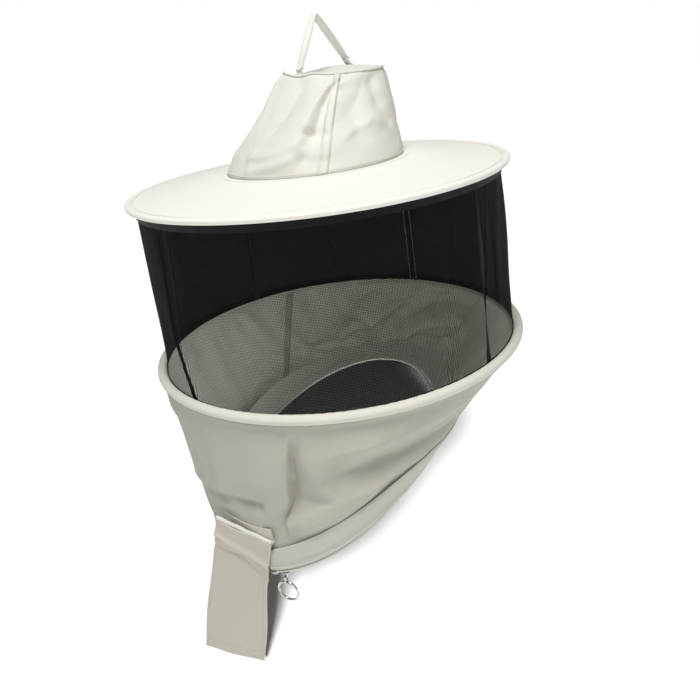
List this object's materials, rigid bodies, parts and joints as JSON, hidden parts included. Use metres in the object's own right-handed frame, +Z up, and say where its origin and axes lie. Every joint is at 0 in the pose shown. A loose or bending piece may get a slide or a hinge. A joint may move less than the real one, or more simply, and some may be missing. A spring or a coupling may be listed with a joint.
{
  "type": "veil hood",
  "caption": "Round-hat bee veil hood: soft crown on a stiff round brim, net cylinder to a covered hoop, cotton collar with neck zip, throat flap, hanging loop and ring pull.",
  "frame": {"origin": "centre of the brim's bound edge, in its plane, where the hat sits round a head", "axes": "+Z up out of the crown, -Y the way the wearer faces, +X the wearer's left"},
  "size_m": [0.4368, 0.4581, 0.7048],
  "materials": {
    "hat_cotton": "plain woven cotton, bleached, matte",
    "collar_cotton": "plain woven cotton, unbleached cream, matte",
    "tape_cotton": "woven cotton tape",
    "net": "fine black polyester net",
    "stiff_board": "stiffener board",
    "spring_wire": "drawn spring steel",
    "zip_nylon": "nylon coil and woven zip tape",
    "zip_metal": "plated, polished",
    "hook_tape": "hook fastener tape"
  },
  "bodies": {
    "hat": {"crown_front_panel": "hat_cotton", "crown_left_panel": "hat_cotton", "crown_right_panel": "hat_cotton", "crown_tip": "hat_cotton", "crown_seam_right": "tape_cotton", "crown_seam_back": "tape_cotton", "crown_seam_left": "tape_cotton", "sweatband": "tape_cotton", "brim_top_cover": "hat_cotton", "brim_board": "stiff_board", "brim_under_cover": "hat_cotton", "brim_edge_wire": "spring_wire", "brim_edge_binding": "hat_cotton", "loop_anchor_front": "hat_cotton", "loop_anchor_back": "hat_cotton", "veil_top_hem": "tape_cotton", "veil_front_panel": "net", "veil_right_panel": "net", "veil_left_panel": "net", "veil_seam_right": "net", "veil_seam_back": "net", "veil_seam_left": "net"},
    "loop": {"hanging_loop": "hat_cotton"},
    "collar": {"veil_bottom_hem": "net", "hoop_core": "spring_wire", "hoop_ferrule": "spring_wire", "hoop_cover": "hat_cotton", "collar_front_panel": "collar_cotton", "collar_right_panel": "collar_cotton", "back_yoke": "collar_cotton", "collar_left_panel": "collar_cotton", "collar_seam_front_right": "collar_cotton", "collar_seam_back_right": "collar_cotton", "collar_seam_back_left": "collar_cotton", "collar_seam_front_left": "collar_cotton", "zip_tape": "zip_nylon", "zip_placket": "hat_cotton", "zip_facing": "collar_cotton", "zip_chain": "zip_nylon", "zip_box": "zip_metal", "zip_top_stop": "zip_metal", "flap_anchor_strip": "hat_cotton"},
    "flap": {"flap_top_hem": "hat_cotton", "flap_panel": "collar_cotton", "flap_foot_hem": "collar_cotton", "flap_hook_patch": "hook_tape"},
    "slider": {"zip_slider": "zip_metal"},
    "link": {"pull_link": "zip_metal"},
    "ring": {"pull_ring": "zip_metal"}
  },
  "joints": [
    {"name": "veil_collapse", "type": "slide", "parent": "hat", "child": "collar", "axis": [0, 0, 1], "range_m": [0, 0.15], "deforming": ["veil_front_panel", "veil_right_panel", "veil_left_panel", "veil_seam_right", "veil_seam_back", "veil_seam_left"]},
    {"name": "loop_swing", "type": "hinge", "parent": "hat", "child": "loop", "pos_m": [0, 0.03, 0.1115], "axis": [0, 0.9979, 0.065], "range_deg": [-55, 55]},
    {"name": "flap_lift", "type": "hinge", "parent": "collar", "child": "flap", "pos_m": [0.05035, -0.21198, -0.33374], "axis": [-0.9193, -0.281, 0.2756], "range_deg": [0, 150]},
    {"name": "zip_travel", "type": "hinge", "parent": "collar", "child": "slider", "pos_m": [0.017, -0.065, -0.3255], "axis": [-0.1844, -0.4617, 0.8676], "range_deg": [0, 300]},
    {"name": "link_swing", "type": "hinge", "parent": "slider", "child": "link", "pos_m": [0.08686, -0.19375, -0.38522], "axis": [-0.3665, 0.9304, 0], "range_deg": [-35, 35]},
    {"name": "ring_swing", "type": "hinge", "parent": "link", "child": "ring", "pos_m": [0.08686, -0.19375, -0.39437], "axis": [0.9304, 0.3665, 0], "range_deg": [-30, 30]}
  ]
}
